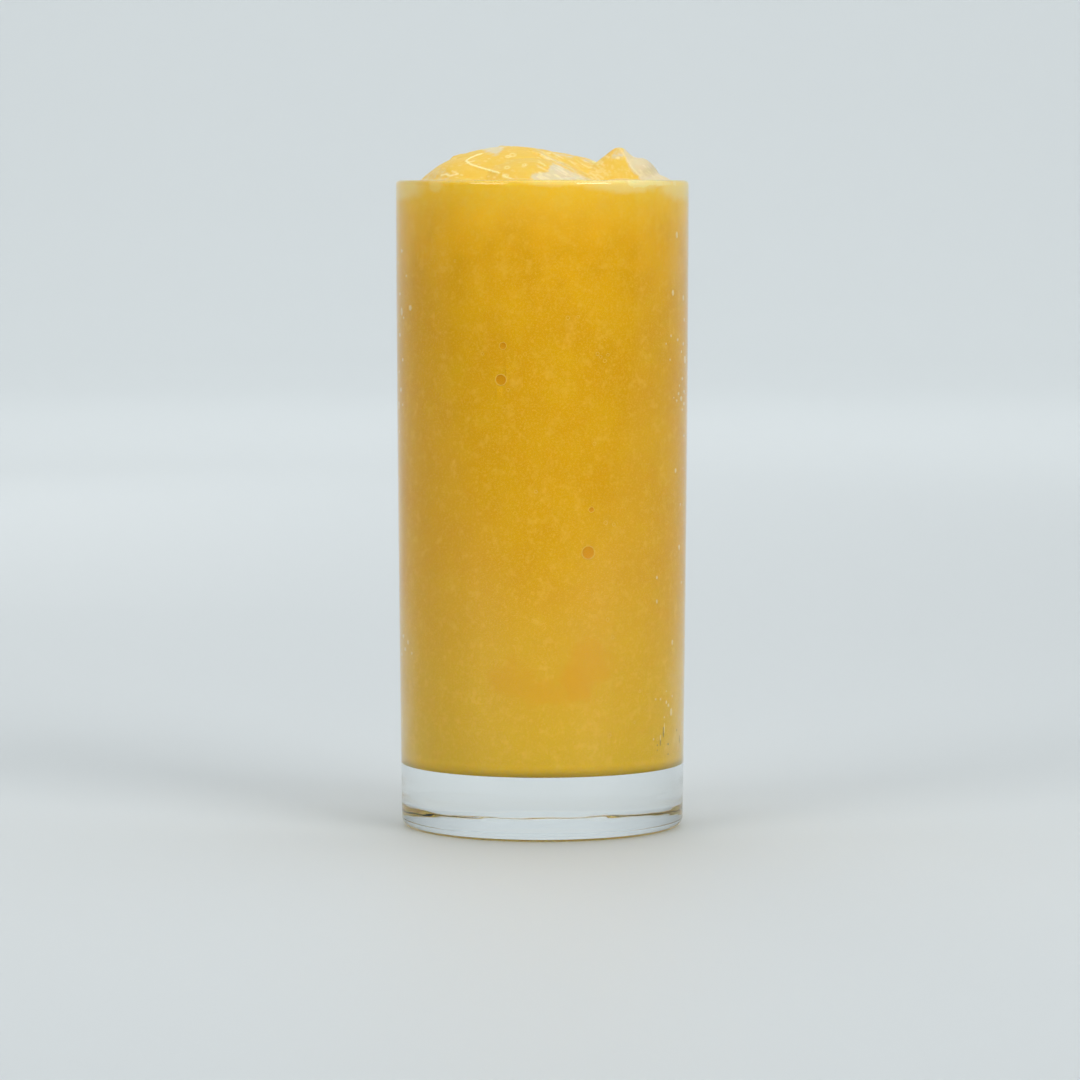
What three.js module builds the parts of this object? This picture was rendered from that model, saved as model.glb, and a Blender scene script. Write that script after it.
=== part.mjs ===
// A mango smoothie in a tall straight glass with a thick clear base.
// Millimetres, +Z up, the front towards -Y, the origin at the middle of the surface that the glass stands on.
// The drink fills the glass to the brim and stands above the rim as an uneven heap.
import * as THREE from "three";

// Driving sizes of the glass
const GLASS_HEIGHT = 155;
const RIM_RADIUS = 35;
const FOOT_RADIUS = 33.8;
const TAPER_POWER = 1.6;
const RIM_WALL = 2.0;
const LOW_WALL = 2.5;
const BASE_THICKNESS = 15.2;
const HEEL_RADIUS = 2.5;
const FLOOR_CORNER_RADIUS = 4;
const STAND_RING_RADIUS = 27.5;
const HOLLOW_EDGE_WIDTH = 1.2;
const HOLLOW_DEPTH = 1.0;
const HOLLOW_CROWN = 0.5;

// Driving sizes of the drink
const WALL_GAP = 0.3;
const FILL_BELOW_RIM = 1.0;
const SHOULDER_RADIUS = 1.2;

// How finely the round shapes are cut
const SEGMENTS_ROUND = 64;
const HEAP_RINGS = 24;
const WALL_STEPS = 5;
const ARC_STEPS = 4;

// The lobes that the heap is made of: their middles, half sizes and turn seen from above, in millimetres and
// degrees, and their highest point above the rim. foot is the level that a lobe's edge would reach. A low
// fullness gives a steep round edge, and a high one a pulled peak.
const LOBES = {
  backDome: { x: -7.2, y: 4, across: 21.8, deep: 20, turn: 0, top: 8.1, foot: -2, fullness: 0.52 },
  frontTongue: { x: -3.5, y: -8.5, across: 17.5, deep: 14.5, turn: -14, top: 6.9, foot: 0.2, fullness: 0.42 },
  rightSlope: { x: 8, y: -2, across: 17, deep: 18, turn: 20, top: 5.2, foot: -1.5, fullness: 0.6 },
  pulledPeak: { x: 18.3, y: -5, across: 8.4, deep: 10.5, turn: 12, top: 7.8, foot: -0.4, fullness: 1.3 },
  rightShoulder: { x: 22.2, y: 1.5, across: 6.8, deep: 11, turn: -15, top: 5.8, foot: -1.2, fullness: 0.55 },
  backFold: { x: 3, y: 15, across: 17, deep: 11, turn: -18, top: 5.6, foot: -0.5, fullness: 0.5 },
};

// Between the lobes and the wall the drink rises by a low skirt, which falls to the wall within the edge band.
const SKIRT_RISE = 1.6;
const SKIRT_POWER = 5;
const BLEND_WIDTH = 0.7;
const EDGE_BAND = 4;

// The glass

function outerRadius(z) {
  const below = 1 - z / GLASS_HEIGHT;
  return FOOT_RADIUS + (RIM_RADIUS - FOOT_RADIUS) * (1 - below ** TAPER_POWER);
}

function wallThickness(z) {
  return THREE.MathUtils.mapLinear(z, BASE_THICKNESS, GLASS_HEIGHT, LOW_WALL, RIM_WALL);
}

function innerRadius(z) {
  return outerRadius(z) - wallThickness(z);
}

// Points of an arc about (r, z), from one angle to the other in degrees, both ends included.
function arc(r, z, radius, from, to) {
  return Array.from({ length: ARC_STEPS + 1 }, (_, i) => {
    const angle = THREE.MathUtils.degToRad(from + ((to - from) * i) / ARC_STEPS);
    return new THREE.Vector2(r + radius * Math.cos(angle), z + radius * Math.sin(angle));
  });
}

// Points that follow a wall between two heights, both ends left out.
function wall(radiusAt, from, to) {
  return Array.from({ length: WALL_STEPS }, (_, i) => {
    const z = from + ((to - from) * (i + 1)) / (WALL_STEPS + 1);
    return new THREE.Vector2(radiusAt(z), z);
  });
}

function glassProfile() {
  const lipRadius = RIM_WALL / 2;
  const lipHeight = GLASS_HEIGHT - lipRadius;
  const lipMiddle = (outerRadius(lipHeight) + innerRadius(lipHeight)) / 2;
  const cornerHeight = BASE_THICKNESS + FLOOR_CORNER_RADIUS;
  const heelMiddle = outerRadius(HEEL_RADIUS) - HEEL_RADIUS;
  return [
    new THREE.Vector2(0, HOLLOW_DEPTH + HOLLOW_CROWN),
    new THREE.Vector2(STAND_RING_RADIUS - HOLLOW_EDGE_WIDTH, HOLLOW_DEPTH),
    new THREE.Vector2(STAND_RING_RADIUS, 0),
    ...arc(heelMiddle, HEEL_RADIUS, HEEL_RADIUS, -90, 0),
    ...wall(outerRadius, HEEL_RADIUS, lipHeight),
    ...arc(lipMiddle, lipHeight, lipRadius, 0, 180),
    ...wall(innerRadius, lipHeight, cornerHeight),
    ...arc(innerRadius(cornerHeight) - FLOOR_CORNER_RADIUS, cornerHeight, FLOOR_CORNER_RADIUS, 0, -90),
    new THREE.Vector2(0, BASE_THICKNESS),
  ];
}

// The drink

function lobeHeight(lobe, x, y) {
  const turn = THREE.MathUtils.degToRad(lobe.turn);
  const along = (x - lobe.x) * Math.cos(turn) + (y - lobe.y) * Math.sin(turn);
  const side = (y - lobe.y) * Math.cos(turn) - (x - lobe.x) * Math.sin(turn);
  const reach = (along / lobe.across) ** 2 + (side / lobe.deep) ** 2;
  return lobe.foot + (lobe.top - lobe.foot) * Math.max(0, 1 - reach) ** lobe.fullness;
}

// The higher of two heights, rounded where they meet.
function blendUp(a, b) {
  const share = THREE.MathUtils.clamp(0.5 + (b - a) / (2 * BLEND_WIDTH), 0, 1);
  return THREE.MathUtils.lerp(a, b, share) + BLEND_WIDTH * share * (1 - share);
}

// The heap's height above the level at which the drink meets the wall.
function heapHeight(x, y, edgeRadius) {
  const r = Math.hypot(x, y);
  const skirt = SKIRT_RISE * (1 - (r / edgeRadius) ** SKIRT_POWER);
  const heap = Object.values(LOBES).reduce(
    (height, lobe) => blendUp(height, FILL_BELOW_RIM + lobeHeight(lobe, x, y)),
    skirt,
  );
  return heap * THREE.MathUtils.smoothstep(edgeRadius - r, 0, EDGE_BAND);
}

function drinkGeometry() {
  const floor = BASE_THICKNESS + WALL_GAP;
  const level = GLASS_HEIGHT - FILL_BELOW_RIM;
  const radiusAt = (z) => innerRadius(z) - WALL_GAP;
  const cornerHeight = floor + FLOOR_CORNER_RADIUS;
  const edgeRadius = radiusAt(level) - SHOULDER_RADIUS;
  const rings = Array.from(
    { length: HEAP_RINGS },
    (_, i) => new THREE.Vector2((edgeRadius * (HEAP_RINGS - 1 - i)) / HEAP_RINGS, level),
  );
  const profile = [
    new THREE.Vector2(0, floor),
    ...arc(radiusAt(cornerHeight) - FLOOR_CORNER_RADIUS, cornerHeight, FLOOR_CORNER_RADIUS, -90, 0),
    ...wall(radiusAt, cornerHeight, level - SHOULDER_RADIUS),
    ...arc(edgeRadius, level - SHOULDER_RADIUS, SHOULDER_RADIUS, 0, 90),
    ...rings,
  ];
  const geometry = turned(profile);
  const position = geometry.attributes.position;
  const topStarts = level - SHOULDER_RADIUS / 2;
  for (let i = 0; i < position.count; i++) {
    const x = position.getX(i);
    const y = position.getY(i);
    const onTop = position.getZ(i) > topStarts && Math.hypot(x, y) < edgeRadius;
    if (onTop) position.setZ(i, level + heapHeight(x, y, edgeRadius));
  }
  return geometry;
}

// A profile of (radius, height) points turned about +Z.
function turned(profile) {
  return new THREE.LatheGeometry(profile, SEGMENTS_ROUND).rotateX(Math.PI / 2);
}

function part(name, geometry, look) {
  const mesh = new THREE.Mesh(geometry, new THREE.MeshStandardMaterial(look));
  mesh.name = name;
  return mesh;
}

const smoothieInGlass = new THREE.Group();
smoothieInGlass.add(
  part("glass", turned(glassProfile()), {
    color: 0xe6edee,
    roughness: 0.04,
    metalness: 0,
    transparent: true,
    opacity: 0.3,
  }),
  part("smoothie", drinkGeometry(), { color: 0xdda32b, roughness: 0.3, metalness: 0 }),
);

export default smoothieInGlass;
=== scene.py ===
# A mango smoothie that fills a tall clear glass to the brim and heaps above its rim.
# Metres, +Z up, the front towards -Y. The frame gives the glass's size and place.
import math
import random

import bpy
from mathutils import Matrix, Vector
from mathutils.bvhtree import BVHTree
from mathutils.kdtree import KDTree


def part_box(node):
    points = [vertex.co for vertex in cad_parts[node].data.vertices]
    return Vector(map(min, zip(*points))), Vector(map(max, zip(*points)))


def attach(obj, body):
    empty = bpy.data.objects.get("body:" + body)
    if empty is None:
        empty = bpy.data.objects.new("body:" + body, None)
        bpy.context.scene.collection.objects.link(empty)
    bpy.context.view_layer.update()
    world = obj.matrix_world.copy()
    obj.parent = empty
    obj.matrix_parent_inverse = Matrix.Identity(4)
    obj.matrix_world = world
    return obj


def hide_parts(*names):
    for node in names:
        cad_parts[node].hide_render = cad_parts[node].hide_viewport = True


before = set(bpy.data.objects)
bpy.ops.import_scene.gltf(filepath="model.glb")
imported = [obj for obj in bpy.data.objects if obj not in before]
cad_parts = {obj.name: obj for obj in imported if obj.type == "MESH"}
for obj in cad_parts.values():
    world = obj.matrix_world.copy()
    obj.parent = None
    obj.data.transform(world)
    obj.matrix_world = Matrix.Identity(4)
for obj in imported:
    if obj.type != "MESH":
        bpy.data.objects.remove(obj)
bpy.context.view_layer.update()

bl_info = {
    "name": "Mango smoothie in its glass",
    "version": (1, 0, 0),
    "blender": (4, 5, 0),
    "location": "3D View > Sidebar > Smoothie",
    "description": "Models a thick mango smoothie in a tall heavy-based glass, with its froth and air pits",
    "category": "Object",
}

GLASS_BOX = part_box("glass")
BODY = "root"
MM = 0.001
WELD = 0.00001

# The glass as packed
RIM_HEIGHT = GLASS_BOX[1].z
RIM_RADIUS = GLASS_BOX[1].x

# The photograph's frame and the camera that fits it. The glass's axis stands at AXIS_PX.
PHOTO_PX = 1080
FOCAL_PX = 4927
AXIS_PX = 542.3
SENSOR_WIDTH = 0.036
CAMERA_DISTANCE = 1.18
CAMERA_HEIGHT = RIM_HEIGHT - 2.4 * MM
CAMERA_PITCH = math.radians(4.06)

# How the glass bends light, how often the height at which a line of sight meets it is worked out anew, and
# the sine of the flattest angle at which it may meet it
GLASS_IOR = 1.5
BEND_ROUNDS = 3
FLATTEST_SINE = 0.999

# The lamps, in metres, watts and degrees: the place, the point that each faces, the size, the power and the
# spread. The unmirrored ones don't show in glossy surfaces.
SOFTBOXES = {
    "key_softbox": ((0.85, -0.95, 0.78), (0, 0, 0.09), (0.7, 0.7), 2.15, 80),
    "fill_softbox": ((-0.9, -0.9, 0.72), (0, 0, 0.09), (0.7, 0.7), 1.42, 80),
    "top_softbox": ((0.05, 0.15, 1.2), (0, 0, 0.09), (0.9, 0.9), 0.35, 80),
    "back_softbox": ((-0.5, 1.5, 0.5), (0, 0, 0.07), (0.7, 0.7), 0.85, 80),
    "right_floor_softbox": ((1.2, 0.9, 1.6), (1.2, 0.901, 0), (2, 2), 5, 130),
    "left_floor_softbox": ((-1.2, 0.9, 1.6), (-1.2, 0.901, 0), (2, 2), 5, 130),
    "backdrop_softbox": ((0, 1.6, 2.2), (0, 3.6, 0.9), (2.4, 0.8), 45, 180),
}

UNMIRRORED = ("back_softbox",)

# Where along Y the floor darkens towards the front, in metres, and how far it lies below the glass
FLOOR_DARKENS = (-0.36, -0.8)
FLOOR_DROP = 0.05 * MM
FLOOR_ROUGHNESS = 0.6
SKY_COLOUR = (0.95, 0.98, 1.0, 1)

# How finely the round pieces are made, how near to a wall's ends its first and last points lie, and how the
# slope round the hollow under the glass bends, as shares of its width and depth
ROUND_STEPS = 256
FLOOR_STEPS = 96
ARC_STEPS = 10
WALL_STEPS = 24
WALL_GUARD = 0.1 * MM
HOLLOW_STEPS = 8
HOLLOW_BEND = (0.25, 0.2)

# The angle in degrees up to which the faces of a piece share their shading
SMOOTH_ANGLES = {"tumbler": 35, "mango_smoothie": 50, "studio_floor": 60}

# The lobes that the heap is made of, in millimetres from the glass's axis and from the rim's height: the
# middle, the half sizes, the turn about Z and the lean towards +X in degrees.
LOBES = {
    "main dome": ((-7.3, 3, -9), (25.6, 22, 17.1), 0, 0),
    "right slope": ((3.5, 1, -4.6), (17.2, 15, 11.2), 0, 12),
    "front layer": ((-1.5, -9.5, -6.2), (17.2, 15, 11.2), -12, 5),
    "left slump": ((-17.5, -5, -6.2), (12.2, 14, 11.5), 15, -6),
    "peak's flank": ((21.0, -3.5, -3.0), (6.5, 9, 8.6), 0, 14),
    "right shoulder": ((23.2, -1.5, -3.4), (5.2, 10, 8.8), -10, 0),
    "right foot": ((26.5, -3, -2.4), (5.0, 9, 3.9), 0, 0),
    "back fold": ((4, 14, -6), (17, 11, 11.8), -18, 0),
}
PEAK = {"foot": (18.1, -4.5, -1.5), "foot_radius": 11.0, "tip_radius": 1.1, "height": 9.3, "lean": 5}

# Low lumps round the heap's foot, with their sizes in millimetres: how many, how unevenly they stand, and the
# ranges of their distances from the axis, their heights from the rim and their half sizes
SKIRT = {
    "count": 15,
    "turn": (-0.3, 0.3),
    "reach": (24, 26.5),
    "height": (-3.2, -2.6),
    "half_sizes": ((4.5, 6), (6, 9), (2.9, 3.9)),
}

# How often the melted lobes and the melted rolls are smoothed, and how fine the slush's lumps are
MELT_ROUNDS = 12
FINE_MELT_ROUNDS = 5
SLUSH_DETAIL = 3

# How far the plug reaches below the cut, and the rings of the drink's floor as shares of its radius
PLUG_OVERLAP = 4 * MM
FLOOR_RINGS = (0.8, 0.6, 0.4, 0.2, 0.06)

# Seeds of the random draws
DRINK_SEED = 4
FROTH_SEED = 11
SPECK_SEED = 23

# Cream areas on the heap: the pixels of the photograph round each, and how solid it is. CREAM_EDGE_PX is how
# wide an area's edge is. Places creamier than CREAM_SPREADS_FROM spread their cream as far as CREAM_FADE over
# the hidden side. A place shows where the camera's line to it ends within SEEN_WITHIN of it. Cream and froth
# are painted down to PAINT_DEPTH below the rim.
CREAM_AREAS = {
    "right flank": ([(621, 146), (632, 150), (650, 155), (672, 178), (672, 186), (644, 186), (638, 176),
                     (630, 169), (626, 160)], 1.0),
    "far hollow": ([(481, 146), (506, 145), (502, 151.5), (496, 155), (489, 154), (483, 150.5)], 0.85),
    "melt": ([(530, 178), (532, 174.5), (541, 172.5), (548, 171), (550, 166), (553, 163), (561, 166),
              (572, 171), (580, 174), (592, 180), (560, 181), (536, 181)], 1.0),
    "valley": ([(580, 157), (600, 158), (599, 160.5), (592, 163), (584, 161.5)], 0.75),
    "peak's tip": ([(611, 152), (620, 146), (628, 149), (629, 157), (619, 160), (610, 159)], 0.6),
    "slope's top": ([(548, 149), (576, 155), (573, 160), (556, 158)], 0.5),
    "fold": ([(531, 146), (537, 147), (550, 156.5), (566, 164), (580, 172), (577, 174), (560, 166),
              (546, 159)], 0.62),
    "left slope": ([(420, 184), (426, 171), (436, 165), (446, 167), (451, 174), (450, 182)], 0.44),
    "under the rim": ([(623, 180), (652, 180), (649, 185), (642, 188.5), (632, 188.5), (626, 186)], 1.0),
    "faint, under the rim": ([(577, 179), (602, 179), (599, 185), (583, 185.5)], 0.6),
}
CREAM_EDGE_PX = 6
CREAM_FADE = 6 * MM
CREAM_SPREADS_FROM = 0.3
SEEN_WITHIN = 0.5 * MM
PAINT_DEPTH = 4.4 * MM

# How far below the rim the heap's finish starts, inside and near the wall, and how wide the part near it is
HEAP_FINISH_BELOW = (2.5 * MM, 0.3 * MM)
NEAR_THE_WALL = 3.2 * MM

# Paler patches under the rim and deeper ones low on the wall: the pixel that shows the middle, the half sizes
# in millimetres along X, Y and Z, and how strong the patch is
RIM_PATCHES = {
    "left corner": ((402, 187), (9, 14, 3.2), 0.5),
    "left oval": ((437, 185), (1.8, 4, 1.7), 0.3),
    "middle": ((560, 182), (9, 5, 1.2), 0.3),
    "right band": ((628, 184), (15, 8, 2.2), 0.5),
    "right corner": ((680, 187), (7, 14, 3.4), 0.58),
}
DEEP_PATCHES = {
    "left arm": ((512, 680), (5, 8, 5.5), 0.55),
    "bottom": ((545, 694), (8, 8, 3.6), 0.65),
    "right arm": ((576, 682), (4.5, 8, 5), 1.0),
    "upper arm": ((590, 662), (4.5, 8, 5.5), 0.75),
}

# The heights at which the drink's colour starts and ends changing: duller towards the floor, a painted
# reflection of the base; brighter towards the rim, painted light; and brighter where light from the base
# reaches it, painted light from the base
LOW_PAINTED_REFLECTION = (75 * MM, 20 * MM)
HIGH_PAINTED_LIGHT = (112 * MM, 150 * MM)
FLOOR_GLOW = (18.8 * MM, 15.8 * MM)

# How far below and above the rim the wall's colour gives way to the heap's, and how late it does. On the wall
# the heap's colours are brighter, painted light where light comes in through the rim, and partly paler froth.
RIM_FADE = (-24 * MM, 1 * MM)
RIM_FADE_POWER = 2.2

# The sides and the back of the wall are painted paler low down and towards the rim, a painted reflection of
# the pale surroundings that the glass mirrors at grazing angles: the places along Y and the heights between
# which it sets in, and how strong it gets
SHEEN_SIDES = (-17 * MM, -6 * MM)
LOW_SHEEN = (66 * MM, 22 * MM)
LOW_SHEEN_SHARE = 0.45
HIGH_SHEEN = (112 * MM, 138 * MM)
HIGH_SHEEN_SHARE = 0.24

# The base's uneven glass: its waves a metre, the noise, the heights between which it fades into the even
# wall, and how strong its relief is
BASE_WAVES = (32, 32, 240)
BASE_WAVES_NOISE = (1, 2, 0.5)
BASE_WAVES_FADE = (14 * MM, 9 * MM)
BASE_WAVES_BUMP = (0.35, 0.25 * MM)

# The patterns in the drink and the froth: the noise's waves a metre, its detail and its roughness, then the
# values between which it turns from none to all
PATTERNS = {
    "clouds": ((90, 3, 0.5), (0.32, 0.68)),
    "mottles": ((420, 4, 0.6), (0.5, 0.75)),
    "grain": ((2300, 3, 0.75), (0.48, 0.68)),
    "ring clusters": ((260, 1, 0.5), (0.5, 0.66)),
    "heap mottles": ((380, 4, 0.6), (0.4, 0.75)),
    "heap grain": ((2100, 3, 0.7), (0.4, 0.75)),
    "froth patches": ((900, 3, 0.5), (0.35, 0.7)),
}
# The clouds that break up the painted reflection on the wall's sides
SHEEN_CLOUDS = ((150, 4, 0.6), (0.35, 0.6, 0.6, 1))
MOTTLE_SHARE = 0.55
GRAIN_SHARE = 0.55
HEAP_MOTTLE_SHARE = 0.4
HEAP_GRAIN_SHARE = 0.25
PATCH_SHARE = 0.5

# Hair-thin froth rings at the wall: cells a metre, how far from a cell's middle the ring rises and falls, and
# how strong it is
RING_CELLS = 520.0
RING_RISE = (0.13, 0.2)
RING_FALL = (0.3, 0.2)
RING_SHARE = 0.45

# The ragged edge of the cream areas: the noise, how far it shifts the edge, the values between which cream
# sets in, and how much of the pulp it covers where it is thickest
CREAM_NOISE = (700, 3, 0.6)
CREAM_RAGGED = 0.95
CREAM_SETS_IN = (0.22, 0.82)
CREAM_COVER = 0.85

# Where a patch's edge starts and ends, as a share of its half size, and how the edges are broken up: waves a
# metre and metres
SPOT_EDGE = (1.25, 0.6)
WOBBLE_DETAIL = 3.0
RIM_WOBBLE = (420, 1.6 * MM)
DEEP_WOBBLE = (240, 8 * MM)
# This one breaks up the edge of the painted reflection on the wall's sides
SHEEN_WOBBLE = (90, 10 * MM)

# The fine relief of the drink and of the froth: the noise, the strength and the depth
DRINK_RELIEF = ((900, 4, 0.6), 0.3, 0.1 * MM)
FROTH_RELIEF = ((2400, 2, 0.5), 0.2, 0.05 * MM)

# How light sinks into the drink
DRINK_IOR = 1.36
SUBSURFACE = {
    "Subsurface Weight": 0.5,
    "Subsurface Radius": (1.0, 0.6, 0.2),
    "Subsurface Scale": 2.0 * MM,
}

# Gloss and roughness of the drink at the wall, on the heap and in the pits
WALL_FINISH = (0.05, 0.6)
HEAP_FINISH = (0.35, 0.42)
PIT_FINISH = (0.1, 0.5)
FROTH_ROUGHNESS = 0.5

# Air pits against the glass: the pixels that show their middles, and their diameters in millimetres
PITS = [((502, 380), 2.5), ((504, 346), 1.6), ((587, 553), 3.0), ((590, 510), 1.2)]

# Small bubbles against the glass, of which only the pale rims show
RINGS = [
    ((509, 390), 0.6), ((596, 354), 0.7), ((599, 357), 0.6), ((603, 361), 0.7), ((606, 355), 0.5),
    ((567, 318), 0.7), ((577, 317), 0.5), ((457, 261), 0.5), ((593, 444), 0.7), ((604, 523), 0.8),
    ((612, 525), 0.6), ((606, 620), 0.7), ((484, 354), 0.5), ((536, 492), 0.6), ((656, 740), 0.6),
    ((611, 638), 0.7), ((638, 692), 0.5), ((608, 736), 0.7), ((633, 723), 0.5),
]

# Flecks of froth against the glass: the pixels that show their middles, and their widths and heights in
# millimetres. Near the glass's edges they are seen aslant. The cluster low on the right is pale specks of
# painted highlight, for light glinting off tiny air pockets.
FLECKS = [
    ((403, 251), (1.6, 0.9)), ((401, 294), (1.5, 0.8)), ((412, 308), (1.7, 1.4)), ((401, 335), (1.4, 1.0)),
    ((404, 360), (1.2, 0.9)), ((402, 390), (1.6, 1.2)), ((408, 276), (1.0, 0.7)), ((675, 235), (1.3, 1.7)),
    ((671, 293), (1.2, 1.5)), ((682, 298), (1.6, 1.4)), ((669, 336), (0.8, 0.7)), ((676, 340), (1.2, 0.8)),
    ((682, 344), (1.4, 0.9)), ((684, 360), (2.4, 2.0)), ((677, 394), (1.3, 0.8)), ((680, 399), (1.8, 1.3)),
    ((675, 401), (0.9, 0.7)), ((683, 404), (1.5, 0.9)), ((674, 471), (1.1, 1.2)), ((678, 548), (1.3, 1.5)),
    ((655, 578), (0.7, 0.9)), ((655, 602), (0.7, 1.0)), ((404, 637), (1.6, 1.0)), ((409, 643), (1.4, 1.2)),
    ((406, 650), (1.5, 1.0)), ((413, 654), (1.0, 0.8)), ((402, 655), (1.6, 0.9)),
    ((671, 643), (0.9, 1.4)),
    # Painted highlights: pale specks for light glinting off tiny air pockets low on the right
    ((665, 692), (0.5, 0.4)), ((659, 700), (0.7, 0.6)), ((654, 700), (0.6, 0.5)), ((665, 703), (0.7, 0.9)),
    ((667, 706), (0.9, 0.8)), ((671, 697), (0.6, 0.7)), ((663, 718), (0.5, 0.5)), ((652, 740), (0.5, 0.6)),
    ((670, 713), (1.3, 2.0)), ((663, 729), (0.45, 2.6)), ((659, 739), (0.4, 2.0)), ((681, 379), (1.4, 0.9)),
    ((678, 386), (0.8, 0.6)), ((683, 392), (1.6, 1.0)), ((672, 398), (0.6, 0.5)), ((681, 410), (1.2, 0.7)),
    ((680, 352), (1.0, 0.8)), ((683, 320), (1.2, 0.9)), ((399, 263), (1.3, 0.8)), ((405, 318), (0.9, 0.7)),
    ((400, 372), (1.1, 0.8)), ((404, 405), (0.8, 0.7)), ((400, 432), (1.0, 0.7)), ((683, 436), (1.1, 0.8)),
    ((668, 360), (0.6, 0.6)), ((664, 344), (0.6, 0.5)), ((400, 480), (0.9, 0.7)), ((679, 505), (0.7, 0.9)),
]

# Dark specks low on the wall, painted shade where tiny air pockets and a groove lie in shadow, given in the
# same way
SPECKS = [
    ((656, 746), (0.4, 0.4)), ((656, 751), (0.4, 0.3)), ((667, 745), (0.6, 0.5)), ((667, 755), (0.5, 0.4)),
    ((679, 740), (0.5, 2.2)), ((676, 731), (0.5, 0.6)), ((662, 733), (0.7, 2.8)), ((659, 743), (0.6, 2.0)),
]

# Pits and flecks round the side that the photograph doesn't show: how many, how far round from the front,
# and how far above the floor and below the rim. Then the pits' radii and the flecks' widths in millimetres,
# and the flecks' heights as shares of their widths.
HIDDEN_PITS = 16
HIDDEN_FLECKS = 60
HIDDEN_TURNS = (math.radians(75), math.radians(285))
HIDDEN_BAND = (8 * MM, 12 * MM)
HIDDEN_PIT_RADII = (0.5, 0.6, 0.8, 1.2)
HIDDEN_FLECK_WIDTHS = (0.4, 1.7)
HIDDEN_FLECK_HEIGHTS = (0.6, 1.4)

# Threads of froth and painted highlights, painted and raised on the heap: the pixels that they pass, and how
# strong they are. The lip's line with its spur and end, and the left glint, are painted highlights where an
# edge catches the light.
GLINTS_AND_THREADS = {
    "lip": ([(482, 153.5), (477, 155), (469, 158.5), (466, 161), (470, 164), (482, 168), (499, 172.8)], 1.0),
    "spur": ([(466, 161), (469, 162), (474, 161)], 0.7),
    "lip's end": ([(503, 175), (507, 177.5), (513, 179)], 0.9),
    "left glint": ([(441, 175.5), (446, 174.2), (450, 176), (458, 174)], 0.8),
    "left dash": ([(452, 171), (457, 173.5)], 0.6),
    "peak's edge": ([(621, 150), (627, 160), (632, 168), (640, 176)], 0.4),
}

# Short dashes and dots of froth: the corners of the part of the photograph that holds them, their number,
# their lengths in pixels, their slope downwards to the right in degrees and how strong they are. DASH_TURN is
# how far, in degrees, a dash may turn from that slope.
DASHES = {
    "slope": ((536, 148, 600, 178), 110, (2, 11), 29, (0.15, 0.6)),
    "peak's face": ((600, 152, 634, 178), 55, (0.5, 2.5), 60, (0.05, 0.22)),
    "left slump": ((434, 158, 500, 179), 24, (0.5, 2.5), 10, (0.1, 0.4)),
    "dome": ((480, 146, 540, 178), 30, (0.5, 2.5), 20, (0.1, 0.3)),
    "right flank": ((636, 160, 664, 178), 16, (1, 3), 35, (0.2, 0.5)),
}
DASH_TURN = 9

# Bubbles on the heap, which show as thin pale rings: the pixels of their middles and their radii in pixels.
# Then how flat they look from the camera, how strong they are and how many corners each is drawn with.
BUBBLES = [
    ((512.5, 155), 2.8), ((508, 156.5), 1.8), ((507, 167.5), 2.2), ((524.5, 165), 1.7), ((454, 158.5), 1.4),
    ((505.5, 176), 2.6), ((549, 153), 1.4), ((618, 158), 1.2),
]
BUBBLE_FLATNESS = 0.6
BUBBLE_STRENGTH = 0.55
BUBBLE_CORNERS = 10

# How far the paint of a thread reaches from its middle, how far it rises and how low it may lie, how far
# apart the marks along it are, and how unevenly strong they are
THREAD_WIDTH = 0.34 * MM
THREAD_RISE = 0.08 * MM
THREADS_LOWEST = RIM_HEIGHT - 1 * MM
THREAD_STEP_PX = 0.8
THREAD_STEP_BACK = 0.2 * MM
UNEVENNESS = (0.7, 1)

# The dashes on the heap's back: their number, their distances from the axis and their lengths in millimetres,
# how strong they are, and their turn from the line to the axis in radians
BACK_DASHES = 110
BACK_DASH_REACH = (5, 30)
BACK_DASH_LENGTHS = (0.2, 2.5)
BACK_DASH_STRENGTHS = (0.1, 0.5)
BACK_DASH_TURN = 0.9

# How far from the axis the slush's lumps reach, and how wide the ring is in which they fade
SLUSH_RADIUS = 32.3 * MM
SLUSH_FADE = 2.5 * MM

# How thick a fleck is in millimetres. How deep a pit is, how far inside the wall a face has to lie to be in
# one, and how far above the floor and below the rim the pits lie. The rim of a pit is a ring as thick as
# RIM_RING and a share of the pit's radius.
FLECK_THICKNESS = 0.22
PIT_DEPTH = 0.12 * MM
PIT_EDGE = 0.015 * MM
PIT_BAND = (5 * MM, 6 * MM)
RIM_RING = 0.05 * MM
RIM_RING_SHARE = 0.05

# Rolled edges where one layer of the drink folds over another. Those in front are given by the pixels of the
# photograph that they pass, the others by their places seen from above in millimetres. Each has a radius in
# millimetres. The beads that they are made of lie a step apart and sink by a share of their radius.
ROLL_STEP_PX = 3
ROLL_STEP_MM = 0.8
ROLL_SINK = 0.6
FRONT_ROLLS = {
    "lip": ([(478, 155), (470, 158), (466, 161), (470, 164), (482, 168), (498, 172.5)], 1.0),
    "slope edge": ([(531, 151), (548, 158), (566, 168), (584, 177)], 1.1),
}
BACK_ROLLS = {
    "ribbon": ([(-21, 5), (-15, 12), (-7, 16), (2, 17), (10, 14), (15, 8)], 1.7),
    "inner ribbon": ([(-10, 6), (-5, 9), (1, 9.5), (6, 7)], 1.3),
    "back tail": ([(20, 12), (12, 20), (2, 24), (-9, 23)], 1.7),
}


# The pieces' shared tools

def deselect_all():
    if bpy.context.mode != "OBJECT":
        bpy.ops.object.mode_set(mode="OBJECT")
    bpy.ops.object.select_all(action="DESELECT")


def name_piece(name):
    piece = bpy.context.object
    piece.name = name
    piece.data.name = name
    return piece


def make_active(piece):
    deselect_all()
    piece.select_set(True)
    bpy.context.view_layer.objects.active = piece


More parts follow.
